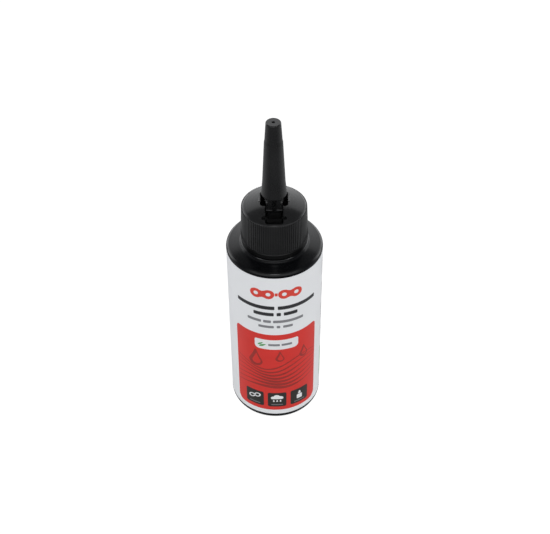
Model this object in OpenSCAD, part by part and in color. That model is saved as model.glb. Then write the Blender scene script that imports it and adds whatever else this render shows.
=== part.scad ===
// Chain lube bottle, about 100 ml, with a ribbed screw cap and a long tilting spout.
// Upright on its base: origin at the centre of the base, +Z up, front towards -Y.
// All sizes in millimetres.

/* [Bottle] */
// Outside diameter of the bottle
body_d = 40; // [34:0.5:48]
// Height of the shoulder above the base
body_h = 91.3; // [75:0.5:120]
// Thickness of the blown wall
wall = 1.1; // [0.8:0.1:1.5]
// Radius of the heel, between base and side
heel_r = 3.9; // [2.5:0.1:5]
// Radius of the shoulder's outer edge
shoulder_r = 1.6; // [1.5:0.1:3]
// Rise of the shoulder from its outer edge to the neck
shoulder_rise = 0.6; // [0:0.1:0.8]
// Height of the hollow under the base
push_up = 1.8; // [0.5:0.1:3]

/* [Neck] */
// Radius of the collar under the cap
collar_r = 13.9; // [13.2:0.1:14.6]
// Height of the collar above the shoulder's edge
collar_h = 1.9; // [1:0.1:3]
// Diameter of the neck at the thread's root
neck_d = 21.4; // [20:0.1:22.5]
// Diameter over the thread's crests
thread_d = 23.9; // [23:0.1:25]
// Inside diameter of the neck
neck_bore_d = 18; // [17.4:0.1:18.6]
// Height of the neck's rim above the shoulder's edge
neck_h = 9.7; // [9:0.1:12]

/* [Label] */
// Gap between the heel's rounding and the label's lower edge
label_low = 0.3; // [0.2:0.1:10]
// Gap between the label's upper edge and the shoulder's rounding
label_high = 0.6; // [0.3:0.1:10]
// Thickness of the label
label_t = 0.12; // [0.08:0.01:0.2]
// Gap between the label's two ends, at the back
label_slit = 0.8; // [0.4:0.1:2]

/* [Cap] */
// Gap between the cap's lower edge and the collar
skirt_gap = 0.3; // [0.2:0.1:1]
// Thickness of the cap's wall under the ribs
cap_wall = 1.4; // [1.2:0.1:2]
// How much the wall's radius shrinks towards the top
cap_taper = 0.5; // [0.2:0.1:0.8]
// Height of the plain ring at the cap's lower edge
ring_h = 2.6; // [2:0.1:5]
// How far the plain ring lies inside the ribs' crests
ring_in = 0.05; // [0:0.05:0.2]
// Number of ribs round the cap
rib_n = 90; // [60:1:100]
// Height of a rib
rib_h = 0.3; // [0.2:0.05:0.4]
// Radius of the cap's top edge
top_r = 0.7; // [0.5:0.1:1.2]
// Radius of the domed top
dome_r = 50; // [42:1:120]
// Thickness of the cap's top
deck_t = 1.6; // [1.2:0.1:1.8]

/* [Opening in the top] */
// Half the width of the opening round the spout's neck
open_half = 5.65; // [5.3:0.05:6]
// How far the opening reaches behind the cap's axis
open_back = 7.5; // [6.5:0.1:8]
// How far its wide part reaches in front of the cap's axis
open_front = 2.4; // [1.8:0.1:3]
// Radius of the wide part's corners
open_corner = 1.5; // [0.8:0.1:1.8]
// Half the width of the slot in front
slot_half = 3.6; // [3.5:0.1:4]
// Distance from the cap's axis to the slot's front end
slot_reach = 11.9; // [11:0.1:12]
// Distance from the cap's axis to the two notches
notch_y = 8.75; // [8.6:0.05:8.9]
// Radius of a notch
notch_r = 0.95; // [0.9:0.05:1.1]
// Radius of the rounded lip at each side of the opening
lip_r = 0.45; // [0.3:0.05:0.6]

/* [Valve seat and seal] */
// Thickness of the seal ring
seal_t = 0.8; // [0.5:0.1:1.2]
// Thickness of the seat's disc
seat_t = 1.6; // [1.3:0.1:2]
// Height of the chamber between the seat and the cap's top
chamber_h = 7.6; // [7.4:0.1:9]
// Width of the ledge in the cap that holds the seat
ledge = 0.9; // [0.6:0.1:1.1]
// Height of the spout's pivot above the seat's disc
pivot_h = 0.2; // [0:0.1:0.6]
// Diameter of the hole under the spout's hub
orifice_d = 2.2; // [1.6:0.1:2.6]
// Thickness of an ear beside the hub
ear_t = 2; // [1.6:0.1:2.4]

/* [Spout] */
// Height of the cone, from its foot to its tip
cone_h = 34.4; // [26:0.2:40]
// Height of the cone's foot above the cap's top
foot_gap = 4.6; // [4.4:0.1:5.5]
// Radius of the cone's foot
foot_r = 5.15; // [4.9:0.05:5.4]
// Radius at the upper end of the long cone
waist_r = 3.7; // [3.2:0.02:4]
// Radius at the tip
tip_r = 3; // [2.4:0.1:3.1]
// Diameter of the hole in the tip
tip_hole_d = 1.3; // [0.8:0.1:1.8]
// Length of the narrow hole behind the tip
tip_hole_h = 2.4; // [1.5:0.1:4]
// Height of the flare at the cone's foot
flare_h = 6.5; // [4:0.1:9]
// Height of the short taper above the long cone
step_h = 2.6; // [1.6:0.1:4]
// Thickness of the cone's wall
spout_wall = 1.6; // [1.2:0.1:1.8]
// Radius of the hub that turns in the seat
hub_r = 3.8; // [3.4:0.1:4]
// Half the width of the hub
hub_half = 2.9; // [2.7:0.1:3]
// Radius of the pivot pins
pin_r = 1.5; // [1.2:0.1:1.8]
// Diameter of the channel through the hub and the neck
channel_d = 2.4; // [1.8:0.1:2.6]
// Half the depth of the neck, front to back
neck_half = 3; // [2.6:0.1:3.2]
// Half the width of the neck
neck_side = 2.6; // [2.3:0.1:2.8]
// Width of the groove down the neck's front
groove_w = 1.9; // [1:0.1:2.2]
// Depth of that groove
groove_d = 1.3; // [0.8:0.1:1.4]
// Reach of the shutter in front of the neck, in degrees
shutter_front = 25; // [23:1:40]
// Reach of the shutter behind the neck, in degrees
shutter_back = 80; // [60:1:84]
// Half the width of the shutter's rim
shutter_half = 3.3; // [3:0.1:3.4]
// Thickness of that rim
shutter_t = 1.6; // [1.4:0.1:2.4]

/* [Hidden] */
$fn = 96;

// Clearances: a turning fit, a piece laid in its place, and a part free to move past another
turn_gap = 0.05;
lay_gap = 0.03;
free_gap = 0.2;
thread_gap = 0.15;

body_r = body_d / 2;
neck_r = neck_d / 2;
bore_r = neck_bore_d / 2;
rim_z = body_h + neck_h;
label_z = heel_r + label_low;
label_top = body_h - shoulder_r - label_high;
label_h = label_top - label_z;
recess = label_t + lay_gap;
inner_r = body_r - recess - wall;

collar_z = body_h + collar_h;
cap_z = collar_z + skirt_gap;
cap_bore_r = thread_d / 2 + thread_gap;
core_r = cap_bore_r + cap_wall;
core_top_r = core_r - cap_taper;
ring_z = cap_z + ring_h;
seat_z = rim_z + seal_t;
seat_top = seat_z + seat_t;
chamber_r = cap_bore_r - ledge;
cap_top = seat_top + chamber_h + deck_t;
edge_r = core_top_r + rib_h - top_r;
edge_z = cap_top - dome_drop(edge_r) - top_r;

pivot_z = seat_top + pivot_h;
trough_r = hub_r + turn_gap;
ear_in = hub_half + free_gap;
ear_out = ear_in + ear_t;
ear_r = pin_r + 1.1;
plug_z = pivot_z - trough_r - 1.2;
plug_r = bore_r - 0.35;

foot_z = cap_top + foot_gap;
tip_z = foot_z + cone_h;
waist_z = foot_z + 0.735 * cone_h;
shutter_r = cap_top - pivot_z - 0.3;

// The bumps drop into the notches when the spout has tilted all the way
tilt = 36;
bump_r = 0.65;
notch_z = cap_top - dome_drop(notch_y);
bump_arm = norm([notch_y, notch_z - pivot_z]);
bump_swing = atan(notch_y / (notch_z - pivot_z)) - tilt;

black = "#1d1d1f";
black_gloss = "#141416";
label_white = "#e9eaec";
seal_white = "#d8d8d4";

function arc(x, z, r, a, b, n) =
    [for (i = [0:n]) let (t = a + (b - a) * i / n) [x + r * cos(t), z + r * sin(t)]];
function dome_drop(x) = dome_r - sqrt(dome_r * dome_r - x * x);
function bowl(x, top, reach) = top * (1 - pow(x / reach, 2));

// Wall section of the bottle: outside from the base up to the rim, then back down the inside
function bottle_section() =
    let (foot_in = body_r - heel_r - 3.6, r0 = heel_r - wall, floor_t = 1.2 * wall,
         in_top = body_h - wall, under = collar_z - wall,
         root = neck_r + 0.8, edge = 0.5, foot = 0.6)
    concat(
        [for (i = [0:8]) [foot_in * i / 8, bowl(foot_in * i / 8, push_up, foot_in)]],
        arc(body_r - heel_r, heel_r, heel_r, -90, 0, 10),
        [[body_r, label_z - 0.15], [body_r - recess, label_z - 0.05],
         [body_r - recess, label_top + 0.05], [body_r, label_top + 0.2]],
        arc(body_r - shoulder_r, body_h - shoulder_r, shoulder_r, 0, 90, 8),
        [for (t = [0, 45, 90]) [collar_r + foot * (1 - sin(t)), body_h + shoulder_rise + foot * (1 - cos(t))]],
        arc(collar_r - edge, collar_z - edge, edge, 0, 90, 5),
        [for (t = [0, 45, 90]) [root - 0.8 * sin(t), collar_z + 0.8 * (1 - cos(t))]],
        [[neck_r, rim_z - 0.3], [neck_r - 0.3, rim_z],
         [bore_r + 0.3, rim_z], [bore_r, rim_z - 0.3],
         [bore_r, under + 0.8], [bore_r + 0.8, under], [collar_r - wall - 0.4, under],
         [collar_r - wall, under - 0.4], [collar_r - wall, in_top + shoulder_rise]],
        arc(inner_r - 1, in_top - 1, 1, 90, 0, 6),
        arc(inner_r - r0, floor_t + r0, r0, 0, -90, 8),
        [for (i = [8:-1:0]) [foot_in * i / 8, floor_t + bowl(foot_in * i / 8, push_up, foot_in)]]);

module bottle() {
    color(black_gloss)
        rotate_extrude() polygon(bottle_section());
}

// A printed film wrapped once round the bottle, its two ends a little apart at the back
module label() {
    color(label_white)
        difference() {
            translate([0, 0, label_z]) cylinder(r = body_r - lay_gap / 2, h = label_h);
            translate([0, 0, label_z - 1]) cylinder(r = body_r - lay_gap / 2 - label_t, h = label_h + 2);
            translate([-label_slit / 2, body_r - 2, label_z - 1]) cube([label_slit, 4, label_h + 2]);
        }
}

module seal_ring() {
    color(seal_white)
        translate([0, 0, rim_z])
            difference() {
                cylinder(r = cap_bore_r - 0.4, h = seal_t);
                translate([0, 0, -1]) cylinder(r = plug_r + 0.15, h = seal_t + 2);
            }
}

// Outline of the cap's outside, from its lower edge to the middle of its top
function cap_section(r0, r1, low) =
    let (round_r = edge_r - (core_top_r + rib_h - r1))
    concat([[0, low], [r0, low], [r1, edge_z]],
           arc(round_r, edge_z, top_r, 15, 75, 4),
           [for (i = [8:-1:0]) let (x = round_r * i / 8) [x, cap_top - dome_drop(x)]]);

module ribs() {
    step = 360 / rib_n;
    intersection() {
        translate([0, 0, ring_z + 0.35])
            linear_extrude(height = edge_z + top_r / 2 - ring_z - 0.35)
                polygon([for (i = [0:rib_n - 1], p = [[core_top_r - 0.3, -0.42], [core_r + 1, -0.1],
                                                     [core_r + 1, 0.1], [core_top_r - 0.3, 0.42]])
                         p[0] * [sin((i + p[1]) * step), -cos((i + p[1]) * step)]]);
        rotate_extrude() polygon(cap_section(core_r + rib_h, core_top_r + rib_h, ring_z));
    }
}

module cap_outside() {
    rotate_extrude() polygon(cap_section(core_r, core_top_r, ring_z - 1));
    ribs();
    rotate_extrude()
        polygon(let (r = core_r + rib_h - ring_in)
                [[0, cap_z], [r - 0.3, cap_z], [r, cap_z + 0.3], [r, ring_z - 0.35],
                 [r - 0.12, ring_z - 0.1], [r - 0.35, ring_z], [0, ring_z]]);
}

// The hollow of the cap: thread bore, ledge, and chamber under the top
module cap_inside() {
    translate([0, 0, cap_z - 1]) cylinder(r = cap_bore_r, h = seat_top - cap_z + 1);
    translate([0, 0, cap_z - 0.01]) cylinder(r1 = cap_bore_r + 0.6, r2 = cap_bore_r, h = 0.6);
    rotate_extrude()
        polygon(concat([[0, seat_top - 0.01], [chamber_r, seat_top - 0.01]],
                       [for (i = [8:-1:0]) let (x = chamber_r * i / 8)
                        [x, cap_top - deck_t - dome_drop(x)]]));
}

// Rectangle with round corners, from -half to half and from front to back
module rounded_plan(half, front, back, corner) {
    translate([-half + corner, front]) square([2 * (half - corner), back - front]);
    translate([-half, front + corner]) square([2 * half, back - front - 2 * corner]);
    for (s = [-1, 1], y = [front + corner, back - corner])
        translate([s * (half - corner), y]) circle(r = corner);
}

// Plan of the opening: a wide part round the neck, a slot in front, and two notches
module opening_plan() {
    rounded_plan(open_half, -open_front, open_back, open_corner);
    rounded_plan(slot_half, -slot_reach, 0, 1);
    for (s = [-1, 1])
        translate([s * (slot_half + notch_r / 2), -notch_y]) circle(r = notch_r);
}

module cap() {
    color(black)
        difference() {
            union() {
                cap_outside();
                for (s = [-1, 1])
                    translate([s * (open_half + 0.7 * lip_r), 0.6, cap_top - dome_drop(open_half + 1.5) - 0.1])
                        rotate([-90, 0, 0]) cylinder(r = lip_r, h = 5, $fn = 24);
            }
            cap_inside();
            translate([0, 0, cap_top - dome_drop(slot_reach) - 2 * deck_t])
                linear_extrude(height = 4 * deck_t + dome_drop(slot_reach)) opening_plan();
        }
}

// Disc that closes the neck, with a cradle for the hub and two ears for its pins
module valve_seat() {
    color(black)
        difference() {
            union() {
                translate([0, 0, seat_z]) cylinder(r = cap_bore_r - turn_gap, h = seat_t);
                translate([0, 0, plug_z]) cylinder(r = trough_r + 1.4, h = seat_z - plug_z + 0.5);
                difference() {
                    translate([0, 0, plug_z]) cylinder(r = plug_r, h = seat_z - plug_z + 0.5);
                    translate([0, 0, plug_z - 1]) cylinder(r = plug_r - 1.2, h = seat_z - plug_z + 1);
                }
                for (s = [-1, 1]) ear(s);
            }
            translate([-ear_in, 0, pivot_z]) rotate([0, 90, 0]) cylinder(r = trough_r, h = 2 * ear_in);
            translate([-ear_out - 1, 0, pivot_z])
                rotate([0, 90, 0]) cylinder(r = pin_r + turn_gap, h = 2 * ear_out + 2);
            translate([0, 0, plug_z - 1]) cylinder(d = orifice_d, h = 4);
        }
}

module ear(side) {
    x = side > 0 ? ear_in : -ear_out;
    translate([x, 0, pivot_z]) rotate([0, 90, 0]) cylinder(r = ear_r, h = ear_t);
    translate([x, -ear_r, seat_z + 0.5]) cube([ear_t, 2 * ear_r, pivot_z - seat_z - 0.5]);
}

// Outside of the cone as [radius, height] from the foot up, with a flare at the foot
// and a small step to the tip
function cone_outside() =
    let (step_z = waist_z + step_h, step_r = waist_r - 0.3, round = 0.4)
    concat([[foot_r - 0.35, foot_z], [foot_r, foot_z + 0.35], [foot_r - 0.12, foot_z + flare_h / 4],
            [foot_r - 0.55, foot_z + flare_h], [waist_r, waist_z]],
           [[step_r + 0.06, step_z - step_h / 2], [step_r, step_z]],
           arc(tip_r - round, tip_z - round, round, 0, 90, 5));

function cone_inside() =
    let (floor_z = foot_z + 0.8 * spout_wall)
    [[0, tip_z], [tip_hole_d / 2, tip_z], [tip_hole_d / 2, tip_z - tip_hole_h],
     [tip_r - spout_wall, tip_z - 2.5 * tip_hole_h], [waist_r - spout_wall, waist_z],
     [foot_r - 1.2 * spout_wall, foot_z + flare_h / 2], [channel_d / 2, floor_z], [0, floor_z]];

// Cylinder of radius r along the pivot's line, from -half to half
module across(r, half) {
    translate([-half, 0, pivot_z]) rotate([0, 90, 0]) cylinder(r = r, h = 2 * half);
}

// Drum on the hub that covers the opening while the spout tilts, with a wider rim and a
// rounded front edge
module shutter() {
    far = 2 * shutter_r;
    a = shutter_front;
    b = shutter_back;
    bead = 0.4;
    intersection() {
        union() {
            across(shutter_r, hub_half);
            difference() {
                across(shutter_r, shutter_half);
                across(shutter_r - shutter_t, 2 * shutter_half);
            }
        }
        translate([-slot_half, 0, pivot_z])
            rotate([90, 0, 90])
                linear_extrude(height = 2 * slot_half)
                    polygon([[0, 0], [-far * sin(a), far * cos(a)], [0, far * 1.5],
                             [far * sin(b), far * cos(b)]]);
    }
    translate([0, -(shutter_r - bead) * sin(a), (shutter_r - bead) * cos(a)])
        across(bead, shutter_half);
}

module spout() {
    color(black)
        difference() {
            union() {
                rotate_extrude() polygon(concat([[0, foot_z]], cone_outside(), [[0, tip_z]]));
                translate([-neck_side, -neck_half, pivot_z])
                    cube([2 * neck_side, 2 * neck_half, foot_z - pivot_z + 0.2]);
                shutter();
                across(hub_r, hub_half);
                across(pin_r, ear_out);
                translate([0, -bump_arm * sin(bump_swing), bump_arm * cos(bump_swing)])
                    across(bump_r, slot_half + turn_gap);
            }
            rotate_extrude() polygon(cone_inside());
            translate([0, 0, pivot_z - hub_r - 1]) cylinder(d = channel_d, h = foot_z + 2 - pivot_z + hub_r);
            groove();
        }
}

// Groove in the middle of the neck's front and over the shutter's rim
module groove() {
    far = 2 * shutter_r;
    translate([-groove_w / 2, -neck_half - 1, pivot_z + shutter_r - groove_d])
        cube([groove_w, groove_d + 1, foot_z - pivot_z - shutter_r + groove_d - 0.6]);
    difference() {
        across(shutter_r + 1, groove_w / 2);
        across(shutter_r - groove_d, groove_w);
        translate([-groove_w, -neck_half + groove_d, pivot_z - far])
            cube([2 * groove_w, 2 * far, 2 * far]);
    }
}

bottle();
label();
seal_ring();
cap();
valve_seat();
spout();
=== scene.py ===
# %% [markdown]
# # A chain lube bottle
#
# This lesson dresses a small bottle of chain oil. The solids come from the CAD model: a blow-moulded bottle,
# a wrapped label, a ribbed screw cap, a hidden valve seat, a seal ring and a long spout that tilts.
# They already have their true shapes, so they stay. What they still need is a surface: gloss, moulding
# texture, ink. Only the label is made anew, because a film a tenth of a millimetre thick wants a much smoother
# curve than the CAD mesh gives, and the print has to lie exactly on it.
#
# Everything is in metres, in the frame of the CAD model. Sizes of the print are given in millimetres and
# turned into metres at one place.

import math

import bmesh
import bpy
from mathutils import Matrix, Vector


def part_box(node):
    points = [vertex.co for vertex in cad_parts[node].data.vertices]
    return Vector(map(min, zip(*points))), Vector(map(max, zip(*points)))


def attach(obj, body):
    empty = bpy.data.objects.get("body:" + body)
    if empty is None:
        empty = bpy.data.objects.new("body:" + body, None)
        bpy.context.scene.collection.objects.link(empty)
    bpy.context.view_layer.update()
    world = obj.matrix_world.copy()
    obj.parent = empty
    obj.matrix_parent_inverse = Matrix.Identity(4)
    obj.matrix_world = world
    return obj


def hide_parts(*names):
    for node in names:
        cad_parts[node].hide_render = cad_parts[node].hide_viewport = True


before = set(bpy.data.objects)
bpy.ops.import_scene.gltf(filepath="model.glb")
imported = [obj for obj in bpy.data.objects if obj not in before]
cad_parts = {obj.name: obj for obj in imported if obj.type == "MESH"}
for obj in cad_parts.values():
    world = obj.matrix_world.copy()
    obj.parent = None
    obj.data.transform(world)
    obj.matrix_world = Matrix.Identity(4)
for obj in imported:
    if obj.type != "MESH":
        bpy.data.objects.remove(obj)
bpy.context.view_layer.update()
MM = 0.001

for node in sorted(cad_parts):
    low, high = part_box(node)
    print(f"{node}: {high.x / MM - low.x / MM:.1f} x {high.y / MM - low.y / MM:.1f} mm, "
          f"from z {low.z / MM:.1f} to {high.z / MM:.1f}")

# %% [markdown]
# ## The camera
#
# The picture to match was taken from above the front, 43.6 degrees up, at about half a metre. The distance
# matters: so near, the bottle's side narrows towards its base by an eighth. A camera is placed by its
# distance and its height angle, looks at a point on the bottle's axis, and gets the focal length that makes
# the bottle as tall in the picture as it should be. It leans by half a degree and looks a third of a pixel past
# the axis, as a camera on a small tripod does.

# %% Camera
CAMERA_HEIGHT_ANGLE = math.radians(43.64)
CAMERA_DISTANCE = 0.4754
LOOKS_AT = Vector((0, 0, 0.07664))
CAMERA_LEAN = math.radians(0.55)
FOCAL_LENGTH_PX = 1131.27
PICTURE_WIDTH_PX = 550
PAST_AXIS_PX = 0.3
SENSOR_WIDTH = 36

lens = bpy.data.cameras.new("camera")
lens.sensor_fit = "HORIZONTAL"
lens.sensor_width = SENSOR_WIDTH
lens.lens = SENSOR_WIDTH * FOCAL_LENGTH_PX / PICTURE_WIDTH_PX
lens.clip_start = 0.01
lens.clip_end = 1000
lens.dof.use_dof = False
camera = bpy.data.objects.new("camera", lens)
bpy.context.scene.collection.objects.link(camera)
back_off = Vector((0, -math.cos(CAMERA_HEIGHT_ANGLE), math.sin(CAMERA_HEIGHT_ANGLE))) * CAMERA_DISTANCE
tilt = Matrix.Rotation(math.pi / 2 - CAMERA_HEIGHT_ANGLE, 4, "X")
lean = Matrix.Rotation(-CAMERA_LEAN, 4, "Z")
camera.matrix_world = Matrix.Translation(LOOKS_AT + back_off) @ tilt @ lean
lens.shift_x = PAST_AXIS_PX / PICTURE_WIDTH_PX
bpy.context.scene.camera = camera
print(f"camera {CAMERA_DISTANCE * 100:.0f} cm away, lens {lens.lens:.1f} mm")

# %% [markdown]
# ## The studio
#
# Black plastic has almost no colour of its own: what one sees is the room in it. So the light is set up as
# a room, not as lamps, and each part of the room can be read off the bottle. The domed top of the cap is grey
# at the back and drops to black along a curved line. That line is the upper edge of a white sheet behind the
# bottle, 46 degrees up. The front of the shoulder is dark, so the ceiling is dark. Its rounded rim has a thin
# bright line, so there are soft lights high up in front.
#
# A dome of light does this in a few patches. The sheet is a band of heights with a sharp upper edge, and the
# soft lights are round patches that fade out.

# %% Light dome
world = bpy.data.worlds.new("studio dome")
bpy.context.scene.world = world
world.use_nodes = True
dome = world.node_tree
dome.nodes.clear()


def dome_node(kind, *values, **settings):
    """A node of the dome, whose inputs are numbers or other nodes' outputs, in their order"""
    node = dome.nodes.new(kind)
    for name, setting in settings.items():
        setattr(node, name, setting)
    for socket, value in zip(node.inputs, values):
        if isinstance(value, bpy.types.NodeSocket):
            dome.links.new(value, socket)
        else:
            socket.default_value = value
    return node


def dome_math(operation, *values):
    return dome_node("ShaderNodeMath", *values, operation=operation).outputs[0]


def fade(value, nothing_at, full_at, light=1.0):
    """From 0 where value is nothing_at to light where it is full_at, with soft ends"""
    return dome_node("ShaderNodeMapRange", value, nothing_at, full_at, 0.0, light,
                     interpolation_type="SMOOTHSTEP").outputs["Result"]


def direction(azimuth, elevation):
    """A direction by degrees: azimuth 0 is the front, 90 the right, 180 behind"""
    a, e = math.radians(azimuth), math.radians(elevation)
    return math.sin(a) * math.cos(e), -math.cos(a) * math.cos(e), math.sin(e)


def soft_patch(azimuth, elevation, inner, outer, light):
    """A round patch: full within inner degrees of its middle, gone outer degrees away"""
    towards = dome_node("ShaderNodeVectorMath", look, direction(azimuth, elevation), operation="DOT_PRODUCT")
    return fade(towards.outputs["Value"], math.cos(math.radians(outer)), math.cos(math.radians(inner)), light)


look = dome_node("ShaderNodeTexCoord").outputs["Generated"]
split = dome_node("ShaderNodeSeparateXYZ", look)
away, up = split.outputs["Y"], split.outputs["Z"]

# %% Sheet, soft lights and ground
SHEET_TOP = 46.0
SHEET_LOW_LIGHT, SHEET_TOP_LIGHT = 2.7, 0.74
SHEET_EDGE_DARK, SHEET_EDGE_FULL = 1.01, 0.985
SHEET_SIDE_DARK, SHEET_SIDE_FULL = 0.05, 0.35
CEILING = 0.10
GROUND_FRONT, GROUND_SIDES = 0.04, 0.34
COOL_WHITE = (0.975, 0.985, 1.0, 1)
# azimuth, elevation, radius of the full part, radius where it ends (all in degrees), light
SOFT_LIGHTS = {"front left": (-52, 40, 4, 10, 2.6), "front right": (52, 40, 4, 10, 2.6),
               "front top": (0, 58, 4, 9, 2.2), "camera side": (0, 12, 20, 70, 0.60)}

height = dome_math("DIVIDE", dome_math("ARCSINE", up), math.radians(SHEET_TOP))
sheet = dome_node("ShaderNodeMapRange", height, 0.0, 1.0, SHEET_LOW_LIGHT, SHEET_TOP_LIGHT).outputs["Result"]
sheet = dome_math("MULTIPLY", sheet, fade(height, SHEET_EDGE_DARK, SHEET_EDGE_FULL))
sheet = dome_math("MULTIPLY", sheet, fade(away, SHEET_SIDE_DARK, SHEET_SIDE_FULL))
sky = dome_math("ADD", sheet, CEILING)
for light in SOFT_LIGHTS.values():
    sky = dome_math("ADD", sky, soft_patch(*light))
ground = dome_node("ShaderNodeMapRange", away, -0.6, 0.1, GROUND_FRONT, GROUND_SIDES).outputs["Result"]
is_sky = dome_math("GREATER_THAN", up, 0.0)
total = dome_math("ADD", dome_math("MULTIPLY", sky, is_sky),
                  dome_math("MULTIPLY", ground, dome_math("SUBTRACT", 1.0, is_sky)))
glow = dome_node("ShaderNodeBackground", COOL_WHITE, total)
dome_node("ShaderNodeOutputWorld", glow.outputs[0])
bpy.context.scene.view_settings.view_transform = "Standard"
bpy.context.scene.view_settings.look = "None"
print("sheet up to", SHEET_TOP, "degrees, soft lights:", ", ".join(SOFT_LIGHTS))

# %% [markdown]
# ## The light table
#
# The bottle stands on a white table that glows by itself, so nothing casts a shadow on it and the bottle looks
# cut out, as in the picture. It lights the label from below. It is hidden from reflections, because the
# picture's upright black walls mirror something dim, not white: there the ground part of the dome shows.

# %% Glowing floor
FLOOR_HALF = 100.0
floor_mesh = bpy.data.meshes.new("studio_floor")
CORNERS = ((-1, -1), (1, -1), (1, 1), (-1, 1))
floor_mesh.from_pydata([(x * FLOOR_HALF, y * FLOOR_HALF, 0) for x, y in CORNERS], [], [(0, 1, 2, 3)])
floor = bpy.data.objects.new("studio_floor", floor_mesh)
bpy.context.scene.collection.objects.link(floor)
table_white = bpy.data.materials.new("white table")
table_white.use_nodes = True
table = table_white.node_tree.nodes["Principled BSDF"]
table.inputs["Base Color"].default_value = (0.1, 0.1, 0.1, 1)
table.inputs["Roughness"].default_value = 0.9
table.inputs["Specular IOR Level"].default_value = 0.0
table.inputs["Emission Color"].default_value = (1, 1, 1, 1)
table.inputs["Emission Strength"].default_value = 1.0
floor_mesh.materials.append(table_white)
floor.visible_glossy = False
print(f"floor {2 * FLOOR_HALF:.0f} m wide, so its edge never shows")

# %% [markdown]
# ## Materials: one recipe, many surfaces
#
# Each surface here is moulded, printed or foamed, and all share one build-up: a colour that drifts a little,
# a roughness that drifts with it, and two layers of bump at the real scale of the texture. A mould
# leaves a fine even grain of a few tenths of a millimetre, and blowing leaves soft waves some millimetres wide.
# One helper makes the chain of nodes, so that each finish below is only a few numbers. The coordinates are
# the object's own, so the grain doesn't slide when a piece moves.

# %% Small steps of a finish
CLOUD_SCALE = 90
FOOT_EDGE = 0.05 * MM


def noise(tree, place, scale, detail):
    """A noise that sits still on the object"""
    clouds = tree.nodes.new("ShaderNodeTexNoise")
    clouds.inputs["Scale"].default_value = scale
    clouds.inputs["Detail"].default_value = detail
    tree.links.new(place.outputs["Object"], clouds.inputs["Vector"])
    return clouds.outputs["Fac"]


def stretched(tree, value, low, high, to_low, to_high):
    """Turns the range from low to high of a value into the range from to_low to to_high"""
    change = tree.nodes.new("ShaderNodeMapRange")
    for socket, number in (("From Min", low), ("From Max", high), ("To Min", to_low), ("To Max", to_high)):
        change.inputs[socket].default_value = number
    tree.links.new(value, change.inputs["Value"])
    return change.outputs["Result"]


def ripples(tree, place, size, height, below):
    """One layer of bump, size mm wide and height mm high, over the layer below"""
    bump = tree.nodes.new("ShaderNodeBump")
    bump.inputs["Strength"].default_value = 1.0
    bump.inputs["Distance"].default_value = height * MM
    tree.links.new(noise(tree, place, 1 / (size * MM), 2), bump.inputs["Height"])
    if below:
        tree.links.new(below, bump.inputs["Normal"])
    return bump.outputs["Normal"]


# %% Recipe for a finish
def finish(name, colour, drift, rough, rough_drift, gloss, grain, waves, painted_shade_foot=None):
    """A surface: colour and how far it drifts, roughness and its drift, specular level,
    (size mm, height mm) of the grain and of the wider waves, and perhaps a foot painted darker as painted shade:
    (local height in metres up to which it goes, share of the colour that is left, added roughness)"""
    material = bpy.data.materials.new(name)
    material.use_nodes = True
    tree = material.node_tree
    shader = tree.nodes["Principled BSDF"]
    place = tree.nodes.new("ShaderNodeTexCoord")
    cloud = noise(tree, place, CLOUD_SCALE, 3)

    shade = tree.nodes.new("ShaderNodeValToRGB")
    for stop, factor, position in zip(shade.color_ramp.elements, (1 - drift, 1 + drift), (0.3, 0.7)):
        stop.position = position
        stop.color = (*(min(1.0, c * factor) for c in colour), 1)
    tree.links.new(cloud, shade.inputs["Fac"])
    look_colour = shade.outputs["Color"]
    look_rough = stretched(tree, cloud, 0.0, 1.0, rough - rough_drift, rough + rough_drift)

    # Painted shade: below foot_top the colour is scaled down to the share left over, and roughness may be added
    if painted_shade_foot:
        foot_top, left_over, extra_rough = painted_shade_foot
        axes = tree.nodes.new("ShaderNodeSeparateXYZ")
        tree.links.new(place.outputs["Object"], axes.inputs["Vector"])
        step = (tree, axes.outputs["Z"], foot_top - FOOT_EDGE, foot_top + FOOT_EDGE)
        shade_darkened = tree.nodes.new("ShaderNodeVectorMath")
        shade_darkened.operation = "SCALE"
        tree.links.new(look_colour, shade_darkened.inputs["Vector"])
        tree.links.new(stretched(*step, left_over, 1.0), shade_darkened.inputs["Scale"])
        look_colour = shade_darkened.outputs["Vector"]
        rougher = tree.nodes.new("ShaderNodeMath")
        tree.links.new(look_rough, rougher.inputs[0])
        tree.links.new(stretched(*step, extra_rough, 0.0), rougher.inputs[1])
        look_rough = rougher.outputs["Value"]

    tree.links.new(look_colour, shader.inputs["Base Color"])
    tree.links.new(look_rough, shader.inputs["Roughness"])
    wavy = ripples(tree, place, *waves, None)
    tree.links.new(ripples(tree, place, *grain, wavy), shader.inputs["Normal"])
    shader.inputs["Specular IOR Level"].default_value = gloss
    print(f"finish {name}: roughness {rough:.2f}, grain {grain[0]} mm")
    return material


def dress(node, material):
    """Gives a CAD node its finish, in the slots that its mesh already has"""
    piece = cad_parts[node]
    if not piece.material_slots:
        piece.data.materials.append(material)
    for slot in piece.material_slots:
        slot.material = material


# %% [markdown]
# ## The bottle
#
# The bottle is high-density polyethylene, blown in a polished mould. It is black with a cool cast and quite
# glossy, but never flat: the hot tube shrinks unevenly, so broad waves only hundredths of a millimetre high
# bend each reflection. Bump gives these waves, because they are too shallow to show in the outline.

# %% Bottle plastic
bottle_black = finish("blown bottle plastic", (0.0034, 0.0038, 0.0050), 0.2, 0.16, 0.03, 0.5,
                      grain=(0.25, 0.0004), waves=(7.0, 0.012))
dress("bottle", bottle_black)

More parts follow.
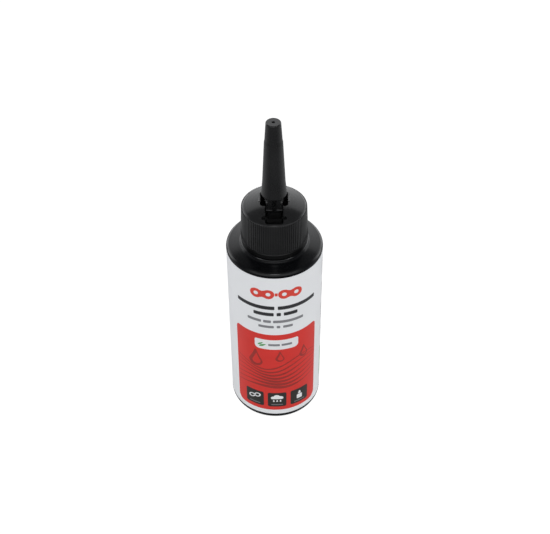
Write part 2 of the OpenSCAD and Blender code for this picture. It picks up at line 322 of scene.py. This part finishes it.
# %% [markdown]
# ## Cap, spout and valve seat
#
# These are injection moulded in polypropylene. Their surface is satin with an even fine grain, still smooth
# enough for the sheet's edge to show on the cap's top as a line. The plain ring under the ribs is painted darker:
# painted shade for the dim gap between the cap and the black shoulder below it. The spout's hub and the seat
# are rougher, from a mould that nobody polished, and so no bright line shows deep in the slot. Both are also
# painted darker than the cap's outside: painted shade for the dark inside of the cap. A foot painted darker is
# cheaper than a
# second material: a step at one height of the object does it.

# %% Moulded plastics
RING_TOP = 96.1
HUB_TOP = 109.0


def local_height(node, z):
    """The height z mm of the CAD frame, in the coordinates of a node"""
    return (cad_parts[node].matrix_world.inverted() @ Vector((0, 0, z * MM))).z


# Below RING_TOP the cap keeps a quarter of its colour: painted shade where the ring faces the black shoulder
cap_black = finish("moulded cap plastic", (0.0200, 0.0202, 0.0208), 0.12, 0.14, 0.02, 0.5,
                   grain=(0.14, 0.0008), waves=(6.0, 0.003), painted_shade_foot=(local_height("cap", RING_TOP), 0.25, 0.0))
# Below HUB_TOP the spout keeps 0.6 of its colour, painted shade inside the cap, and is rougher
spout_black = finish("moulded spout plastic", (0.0165, 0.0167, 0.0173), 0.12, 0.20, 0.03, 0.5,
                     grain=(0.14, 0.0010), waves=(4.0, 0.006),
                     painted_shade_foot=(local_height("spout", HUB_TOP), 0.6, 0.5))
# The seat's colour is half the cap's: painted shade for the dark inside of the cap
shaded_seat_black = finish("moulded seat plastic", (0.0100, 0.0101, 0.0104), 0.1, 0.50, 0.04, 0.3,
                    grain=(0.2, 0.003), waves=(4.0, 0.01))
seal_foam = finish("foamed seal", (0.62, 0.61, 0.57), 0.06, 0.75, 0.05, 0.3,
                   grain=(0.22, 0.05), waves=(1.2, 0.03))
dress("cap", cap_black)
dress("spout", spout_black)
dress("valve_seat", shaded_seat_black)
dress("seal_ring", seal_foam)

# %% [markdown]
# ## Screw threads
#
# The cap climbs 3.18 mm a turn, so the neck carries a ridge with that pitch and the cap has its mate half a
# pitch above. A thread is one small profile carried along a helix. Its ends run out into the neck over a
# sixth of a turn, as moulded threads do, so the mesh closes to a point there. Both ridges are
# right-handed: seen from above, they rise anticlockwise, and so does the cap when it is unscrewed. The cap's
# ridge starts on the far side, half a turn on, which is the same as half a pitch of height.

# %% A run of rings becomes a piece
def moulded_piece(name, runs, material, body):
    """A closed mesh of runs, each a list of rings of (x, y, z) points in mm, on its body"""
    verts, faces = [], []
    for rings in runs:
        first, around = len(verts), len(rings[0])
        verts += [tuple(c * MM for c in point) for ring in rings for point in ring]
        for k in range(len(rings) - 1):
            for j in range(around):
                a, b = first + k * around + j, first + k * around + (j + 1) % around
                faces.append((a, b, b + around, a + around))
        faces.append(tuple(range(first, first + around)))
        faces.append(tuple(range(len(verts) - around, len(verts))))
    mesh = bpy.data.meshes.new(name)
    mesh.from_pydata(verts, [], faces)
    skin = bmesh.new()
    skin.from_mesh(mesh)
    bmesh.ops.recalc_face_normals(skin, faces=skin.faces)
    skin.to_mesh(mesh)
    skin.free()
    piece = bpy.data.objects.new(name, mesh)
    bpy.context.scene.collection.objects.link(piece)
    mesh.materials.append(material)
    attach(piece, body)
    print(f"{name}: {len(faces)} faces")


# %% Helix builder
PITCH = 3.18
NECK_ROOT_R, NECK_CREST_R = 10.7, 11.9
CAP_BORE_R, CAP_CREST_R = 12.1, 10.95
STEPS_PER_TURN = 72
ROOT_HALF, CREST_HALF = 0.95, 0.5
SUNK = 0.12


def thread_rings(root_r, crest_r, first_z, turns, start=0.0):
    """Rings of a trapezoid ridge from root_r to crest_r, whose middle starts at first_z and climbs PITCH a turn"""
    sunk_r = root_r - math.copysign(SUNK, crest_r - root_r)
    steps = round(turns * STEPS_PER_TURN)
    run_out = STEPS_PER_TURN / 6
    rings = []
    for k in range(steps + 1):
        angle = start + k * math.tau / STEPS_PER_TURN
        full = min(1.0, k / run_out, (steps - k) / run_out)
        full = full * full * (3 - 2 * full)
        z = first_z + PITCH * k / STEPS_PER_TURN
        crest = root_r + (crest_r - root_r) * (0.02 + 0.98 * full)
        upper = [(sunk_r, 1.0), (root_r, ROOT_HALF), (crest, CREST_HALF)]
        profile = upper + [(r, -half) for r, half in upper[::-1]]
        rings.append([(r * math.cos(angle), r * math.sin(angle), z + half * (0.4 + 0.6 * full))
                      for r, half in profile])
    return rings


# %% The two threads
THREAD_LOW = 94.9
THREAD_TURNS = 1.75
neck_ridge = thread_rings(NECK_ROOT_R, NECK_CREST_R, THREAD_LOW, THREAD_TURNS)
cap_ridge = thread_rings(CAP_BORE_R, CAP_CREST_R, THREAD_LOW, THREAD_TURNS, start=math.pi)
moulded_piece("neck_thread", [neck_ridge], bottle_black, "bottle")
moulded_piece("cap_thread", [cap_ridge], cap_black, "cap")

# %% [markdown]
# ## The parting line
#
# A blow mould closes from two sides, so the bottle has a hair-thin line where the halves met. It crosses the
# shoulder and the heel, and under the base it thickens into the pinched-off tail of the hot tube. The
# line is a narrow raised strip laid on the bottle's section, on both sides of the axis. It is a run of small
# rings of points too, so the builder for the threads makes it.

# %% Parting line strips
BODY_R = 20.0
SHOULDER_Z = 91.3
RIM_R, HEEL_R = 1.6, 3.9
HOLLOW_R, HOLLOW_DEPTH = 12.5, 1.8
PARTING_ANGLE = math.radians(-48)


def section_arc(middle_r, middle_z, radius, first, last, steps=9):
    """(radius, z) points of an arc of the bottle's section, between two angles in degrees"""
    angles = [math.radians(first + (last - first) * k / steps) for k in range(steps + 1)]
    return [(middle_r + radius * math.cos(a), middle_z + radius * math.sin(a)) for a in angles]


OVER_SHOULDER = [(14.7, 91.87), (16.0, 91.67)] + section_arc(BODY_R - RIM_R, SHOULDER_Z - RIM_R, RIM_R, 90, 0)
OVER_HEEL = section_arc(BODY_R - HEEL_R, HEEL_R, HEEL_R, 0, -80)
UNDER_BASE = [(r, HOLLOW_DEPTH * (1 - (r / HOLLOW_R) ** 2)) for r in (9.6, 8.0, 6.0, 4.0, 2.0, 0.0)]
STRIP_SUNK = 0.1


def parting_strip(name, points, half_width, height):
    """A raised strip that follows (radius, z) points in the mould's parting plane, on both sides of the axis"""
    runs = []
    for side in (0, math.pi):
        a = PARTING_ANGLE + side
        radial, across = Vector((math.sin(a), -math.cos(a))), Vector((math.cos(a), math.sin(a)))
        rings = []
        for k, (r, z) in enumerate(points):
            ahead, behind = points[min(k + 1, len(points) - 1)], points[max(k - 1, 0)]
            along = Vector((ahead[0] - behind[0], ahead[1] - behind[1])).normalized()
            out_of = Vector((-along.y, along.x))
            lifted = (r + out_of.x * height, z + out_of.y * height)
            sunk = (r - out_of.x * STRIP_SUNK, z - out_of.y * STRIP_SUNK)
            ring = []
            for (ring_r, ring_z), w in ((sunk, -half_width), (lifted, -half_width * 0.4),
                                        (lifted, half_width * 0.4), (sunk, half_width)):
                spot = radial * ring_r + across * w
                ring.append((spot.x, spot.y, ring_z))
            rings.append(ring)
        runs.append(rings)
    moulded_piece(name, runs, bottle_black, "bottle")


parting_strip("parting_line_shoulder", OVER_SHOULDER, 0.10, 0.035)
parting_strip("parting_line_heel", OVER_HEEL, 0.10, 0.035)
parting_strip("pinch_off_tail", UNDER_BASE, 0.45, 0.35)

# %% [markdown]
# ## The label film
#
# The label is a white plastic film wrapped once round the straight side, with its two ends just apart at the
# back. It could be a shader on the bottle, but it has an edge one can see, so it is a real sheet with
# a thickness and rounded corners. It is drawn flat, as a printer would, and then bent: a flat outline is
# filled, cut into upright strips 1 mm wide, and each point is carried round the bottle. The print uses
# the same helper, with the same strips, so that its facets lie parallel to the label's and never cross them.

# %% Drawing flat and bending round
LABEL_R = 19.96
LABEL_LOW, LABEL_HIGH = 4.2, 89.1
LABEL_THICK = 0.095
GAP_AT_BACK = 0.8
LABEL_HALF = math.pi * LABEL_R - GAP_AT_BACK / 2
LAYER = 0.012
STRIP = 1.0


def bend(along, up, radius=LABEL_R):
    """Carries a flat point round the bottle: along mm from the middle of the front, up mm from the base"""
    angle = along / LABEL_R
    return Vector((radius * math.sin(angle), -radius * math.cos(angle), up)) * MM


def cut_through(sheet, point, normal):
    """Cuts every face that a plane crosses"""
    everything = sheet.verts[:] + sheet.edges[:] + sheet.faces[:]
    bmesh.ops.bisect_plane(sheet, geom=everything, dist=1e-5, plane_co=point, plane_no=normal)


def flat_sheet(outlines):
    """Fills closed outlines of (along, up) points, one inside another making a hole, and cuts upright strips"""
    sheet = bmesh.new()
    for outline in outlines:
        corners = [sheet.verts.new((x, y, 0)) for x, y in outline]
        for k, corner in enumerate(corners):
            sheet.edges.new((corner, corners[(k + 1) % len(corners)]))
    bmesh.ops.triangle_fill(sheet, use_beauty=True, use_dissolve=False, edges=sheet.edges[:])
    xs = [v.co.x for v in sheet.verts]
    strip = math.floor(min(xs) / STRIP) + 1
    while strip * STRIP < max(xs):
        cut_through(sheet, (strip * STRIP, 0, 0), (1, 0, 0))
        strip += 1
    for face in sheet.faces:
        if face.normal.z < 0:
            face.normal_flip()
    return sheet


def on_bottle(name, mesh, material):
    """Puts a finished mesh of the label on the bottle"""
    mesh.shade_smooth()
    mesh.materials.append(material)
    piece = bpy.data.objects.new(name, mesh)
    bpy.context.scene.collection.objects.link(piece)
    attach(piece, "bottle")
    return piece


def lay_print(name, outlines, ink, layer):
    """One printed colour: a sheet of ink bent round the label, layer steps above the film"""
    sheet = flat_sheet(outlines)
    for vert in sheet.verts:
        vert.co = bend(vert.co.x, vert.co.y, LABEL_R + layer * LAYER)
    mesh = bpy.data.meshes.new(name)
    sheet.normal_update()
    sheet.to_mesh(mesh)
    sheet.free()
    on_bottle(name, mesh, ink)
    print(f"{name}: {len(outlines)} outlines, {len(mesh.polygons)} faces")


# %% Simple outlines
def arc_points(x, y, r, first, last, steps=6):
    return [(x + r * math.cos(math.radians(first + (last - first) * k / steps)),
             y + r * math.sin(math.radians(first + (last - first) * k / steps))) for k in range(steps + 1)]


def rounded_box(left, low, right, high, low_r=0.3, high_r=None):
    """A box with rounded lower and upper corners"""
    high_r = low_r if high_r is None else high_r
    return (arc_points(left + low_r, low + low_r, low_r, 180, 270)
            + arc_points(right - low_r, low + low_r, low_r, 270, 360)
            + arc_points(right - high_r, high - high_r, high_r, 0, 90)
            + arc_points(left + high_r, high - high_r, high_r, 90, 180))


def disc(x, y, r, steps=20):
    return arc_points(x, y, r, 0, 360, steps)[:-1]


# %% The film itself
CORNER_R = 1.2
FILM_ROWS = 12


def film_finish(name, colour, drift=0.04):
    return finish(name, colour, drift, 0.36, 0.04, 0.45, grain=(0.5, 0.0015), waves=(12.0, 0.02))


film_white = film_finish("white label film", (0.835, 0.85, 0.87), 0.012)
sheet = flat_sheet([rounded_box(-LABEL_HALF, LABEL_LOW, LABEL_HALF, LABEL_HIGH, CORNER_R)])
for row in range(1, FILM_ROWS):
    cut_through(sheet, (0, LABEL_LOW + (LABEL_HIGH - LABEL_LOW) * row / FILM_ROWS, 0), (0, 1, 0))
for vert in sheet.verts:
    vert.co = bend(vert.co.x, vert.co.y)
rim = [edge for edge in sheet.edges if edge.is_boundary]
inner = bmesh.ops.duplicate(sheet, geom=sheet.verts[:] + sheet.edges[:] + sheet.faces[:])
inner_of = inner["vert_map"]
inwards = (LABEL_R - LABEL_THICK) / LABEL_R
for vert in [v for v in inner["geom"] if isinstance(v, bmesh.types.BMVert)]:
    vert.co.x *= inwards
    vert.co.y *= inwards
for edge in rim:
    a, b = edge.verts
    sheet.faces.new((a, b, inner_of[b], inner_of[a]))
bmesh.ops.recalc_face_normals(sheet, faces=sheet.faces)
film_mesh = bpy.data.meshes.new("label_sheet")
sheet.to_mesh(film_mesh)
sheet.free()
film = on_bottle("label_sheet", film_mesh, film_white)
film_mesh.set_sharp_from_angle(angle=math.radians(40))
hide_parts("label")
print(f"label_sheet: {2 * LABEL_HALF:.1f} x {LABEL_HIGH - LABEL_LOW:.1f} mm, {len(film_mesh.polygons)} faces")

# %% [markdown]
# ## Inks
#
# The label is printed in a few flat inks and then varnished with the film, so all inks share the film's
# gloss. Dark red drifts a little more in strength than the rest. The dark ink isn't pure black, which on white
# film would look like a hole. The panel, the tag and the mark sit half a millimetre right of the middle, which
# MIDDLE adds to their places.

# %% Ink colours
red_ink = film_finish("red ink", (0.70, 0.030, 0.022))
maroon_ink = film_finish("dark red ink", (0.35, 0.032, 0.026), 0.06)
dark_ink = film_finish("near black ink", (0.030, 0.031, 0.034))
soft_grey_ink = film_finish("grey ink", (0.23, 0.235, 0.25))
square_ink = film_finish("warm dark ink", (0.034, 0.032, 0.030))
badge_white = film_finish("white ink", (0.82, 0.83, 0.845), 0.012)
leaf_green = film_finish("leaf green ink", (0.09, 0.38, 0.12))
mark_red = film_finish("bright red ink", (0.72, 0.055, 0.035))
MIDDLE = 0.5

# %% [markdown]
# ## The red panel
#
# More than half of the label's height is a red field with rounded corners, nearly a third of the way round
# wide. It has a white tag near its top and three dark squares near its foot. It is one filled outline, one
# layer above the film.

# %% Red panel
PANEL = (-19.6 + MIDDLE, 6.9, 19.6 + MIDDLE, 56.1)
lay_print("label_red_panel", [rounded_box(*PANEL, 3.5, 2.2)], red_ink, 1)

# %% [markdown]
# ## Waves and drops on the panel
#
# The field carries a drawing in a darker red. Here it is a sheet of running oil: long wavy bands that swell
# and thin out, and three drops above them. A band is a middle line and a width that changes along it, so
# one short function gives the upper and lower edge of each. A drop is a circle whose top is drawn out to a
# point, with a smaller one cut out of it off its middle, which leaves a rim that is thicker on one side.

# %% Waves and drops
def wave_band(height, swing, turns, phase, thin, thick, left, right, steps=60):
    """A band round a wavy middle line, thin at its ends and thick in its middle"""
    upper, lower = [], []
    for k in range(steps + 1):
        t = k / steps
        x = left + (right - left) * t
        middle = height + swing * math.sin(math.tau * (turns * t + phase)) + 0.10 * (x - left)
        half = thin + (thick - thin) * math.sin(math.pi * t) ** 2
        upper.append((x, middle + half))
        lower.append((x, middle - half))
    return upper + lower[::-1]


def drop(x, y, r, height, steps=28):
    """A drop that hangs from its point, height mm above the middle of its round end"""
    points = []
    for k in range(steps):
        t = math.tau * (k + 0.5) / steps
        squeeze = max(0.0, math.cos(t)) ** 1.4
        points.append((x + r * math.sin(t) * (1 - 0.62 * squeeze), y + math.cos(t) * (r + (height - r) * squeeze)))
    return points


waves = []
for k in range(7):
    waves.append(wave_band(height=21.0 + 2.35 * k, swing=1.1 + 0.25 * k, turns=1.15, phase=0.05 * k, thin=0.12,
                           thick=0.85 - 0.07 * k, left=PANEL[0] + 0.6, right=PANEL[2] - 0.6))
lay_print("label_waves", waves, maroon_ink, 2)
drops = []
for x, y, r in ((-9.4, 38.6, 3.2), (1.4, 41.2, 2.0), (12.4, 41.0, 2.2)):
    drops.append(drop(x + MIDDLE, y, r, 2.3 * r))
    drops.append(drop(x + MIDDLE + 0.12 * r, y + 0.05 * r, 0.62 * r, 1.4 * r))
lay_print("label_drops", drops, maroon_ink, 3)

# %% [markdown]
# ## White tag with a leaf
#
# The tag says in a picture that the oil comes from plants: two green leaves, with two grey bars where words
# would be. Words are left off this bottle. Where print would stand, it carries plain bars of about the same
# height, length and grey.

# %% Tag and leaves
def leaf(x, y, length, width, lean_angle, steps=16):
    """A pointed leaf whose stem end is at (x, y)"""
    side = [(length * k / steps, width * math.sin(math.pi * (k / steps) ** 0.85)) for k in range(steps + 1)]
    outline = side + [(u, -v) for u, v in side[-2:0:-1]]
    c, s = math.cos(lean_angle), math.sin(lean_angle)
    return [(x + u * c - v * s, y + u * s + v * c) for u, v in outline]


lay_print("label_tag", [rounded_box(-9.6 + MIDDLE, 47.0, 9.6 + MIDDLE, 52.9, 2.0, 0.9)], badge_white, 2)
lay_print("label_leaf", [leaf(-8.3 + MIDDLE, 49.2, 3.1, 0.45, math.radians(37)),
                         leaf(-7.7 + MIDDLE, 48.5, 3.7, 0.52, math.radians(27))], leaf_green, 3)

# %% [markdown]
# ## Bars where words would be
#
# A row of bars is given by its left end, its lower and upper edge, the lengths of its words and the gap
# between them. The same function draws the bold rows over the panel, the grey rows under them, and the row
# on the tag.

# %% Rows of bars
def word_bars(left, low, high, words, gap):
    """Bars with the given lengths, side by side from left, with gap mm between them"""
    bars, x = [], left
    for length in words:
        bars.append(rounded_box(x, low, x + length, high, min(0.35, 0.4 * (high - low))))
        x += length + gap
    return bars


bold_rows = (word_bars(-17.5, 71.2, 73.2, (17.2, 17.7), 1.4)
             + word_bars(-9.3, 67.5, 69.4, (8.7, 1.8, 6.0), 1.2))
lay_print("label_bold_bars", bold_rows, dark_ink, 1)
grey_rows = (word_bars(-12.2, 63.4, 64.9, (6.2, 3.3, 13.3), 0.9)
             + word_bars(-7.2, 60.3, 61.7, (6.6, 1.5, 4.2), 1.2)
             + word_bars(-3.6 + MIDDLE, 49.2, 50.5, (5.0, 4.6), 0.7))
lay_print("label_light_bars", grey_rows, soft_grey_ink, 3)

# %% [markdown]
# ## The mark at the top
#
# The most striking print over the panel is a bright red mark, 22 mm wide and 5 mm high. Here it is a short
# length of roller chain, the thing that the oil is for: two outer plates with a waist and two holes each,
# and a piece of the inner link between them. A plate is two discs joined by a waisted neck, and its holes are
# cut out by the filler, which takes an outline inside another as a hole.

# %% Chain mark
MARK_Y = 80.0
PLATE_PITCH, PLATE_END_R, PLATE_WAIST, PIN_R = 5.2, 2.6, 1.75, 1.0
PLATE_AWAY = 5.95
NECK_FROM = 52


def chain_plate(x, y, steps=12):
    """A chain plate round two pins, as one outline"""
    right = arc_points(x + PLATE_PITCH / 2, y, PLATE_END_R, NECK_FROM - 180, 180 - NECK_FROM, steps)
    left = arc_points(x - PLATE_PITCH / 2, y, PLATE_END_R, NECK_FROM, 360 - NECK_FROM, steps)
    return right + [(x, y + PLATE_WAIST)] + left + [(x, y - PLATE_WAIST)]


mark = [rounded_box(MIDDLE - 0.62, MARK_Y - 0.85, MIDDLE + 0.62, MARK_Y + 0.85, 0.2)]
for side in (-1, 1):
    x = MIDDLE + side * PLATE_AWAY
    mark.append(chain_plate(x, MARK_Y))
    mark += [disc(x + end * PLATE_PITCH / 2, MARK_Y, PIN_R) for end in (-1, 1)]
lay_print("label_chain_mark", mark, mark_red, 1)

# %% [markdown]
# ## Three picture squares
#
# At the panel's foot, three dark squares with white pictures say what the oil is for and where it works. The
# pictures here are a chain link, a rain cloud and a dropper bottle, each drawn with a few outlines
# that are simple enough to read at 9 mm.

# %% Squares and pictures
SQUARE_LOW, SQUARE_HIGH = 9.2, 18.5
SQUARES = [(-14.15, -5.45), (-3.65, 4.7), (6.65, 15.45)]
lay_print("label_picture_squares", [rounded_box(a, SQUARE_LOW, b, SQUARE_HIGH, 0.9) for a, b in SQUARES],
          square_ink, 2)
middles = [(a + b) / 2 for a, b in SQUARES]


def ring(x, y, r, band, stretch=1.0, lean_angle=0.0, steps=24):
    """The two outlines of a ring, drawn out by stretch and leaned"""
    c, s = math.cos(lean_angle), math.sin(lean_angle)
    return [[(x + u * stretch * c - v * s, y + u * stretch * s + v * c) for u, v in disc(0, 0, r - inset, steps)]
            for inset in (0, band)]


def rain_cloud(x, y, size):
    """A flat-footed cloud of three round heaps"""
    return ([(x - 1.75 * size, y)] + arc_points(x - 1.25 * size, y + 0.55 * size, 0.62 * size, 220, 90)
            + arc_points(x - 0.1 * size, y + 0.95 * size, 0.95 * size, 165, 25, 8)
            + arc_points(x + 1.2 * size, y + 0.6 * size, 0.68 * size, 75, -50) + [(x + 1.6 * size, y)])


pictures = []
for shift, lean_angle in ((-1.35, 0.6), (1.35, 0.6)):
    pictures += ring(middles[0] + shift, 15.0 + shift * 0.45, 1.25, 0.5, 1.35, lean_angle)
pictures.append(rain_cloud(middles[1], 14.3, 1.5))
for shift in (-1.5, 0, 1.5):
    pictures.append(drop(middles[1] + shift, 12.9, 0.42, 1.0, 14))
pictures.append(rounded_box(middles[2] - 1.35, 11.9, middles[2] + 1.35, 14.6, 0.35))
pictures.append([(middles[2] - 0.75, 14.9), (middles[2] + 0.75, 14.9), (middles[2] + 0.35, 16.9),
                 (middles[2] - 0.35, 16.9)])
lay_print("label_pictures", pictures, badge_white, 3)
captions = [rounded_box(m - 2.6, 10.3, m + 2.6, 10.75, 0.12) for m in middles]
lay_print("label_picture_captions", captions, soft_grey_ink, 3)

# %% [markdown]
# ## The side of the label
#
# At the label's right edge the picture shows the first ends of small grey print and an upright green strip,
# which run on round the bottle out of sight. They become rows of fine bars, with lengths that vary by a
# simple rule instead of by chance, so each run gives the same label.

# %% Fine rows and green strip
FINE_LEFT = 27.3
FINE_PITCH, FINE_HEIGHT, FINE_GAP = 1.55, 0.62, 0.55
fine = []
for block, (top, rows) in enumerate(((85.5, 7), (70.5, 5), (58.5, 6), (44.0, 4))):
    for row in range(rows):
        high = top - FINE_PITCH * row
        right = FINE_LEFT + (20.5 if row < rows - 1 else 9.0 + 3.5 * block)
        x, k = FINE_LEFT, 0
        while x < right:
            length = 1.6 + 1.9 * ((row * 5 + k * 3 + block * 2) % 4) / 3
            fine.append(rounded_box(x, high - FINE_HEIGHT, min(x + length, right + 1.0), high, 0.15))
            x += length + FINE_GAP
            k += 1
lay_print("label_fine_bars", fine, soft_grey_ink, 1)
lay_print("label_green_strip", [rounded_box(FINE_LEFT, 12.5, 30.2, 31.0, 0.4)], leaf_green, 1)
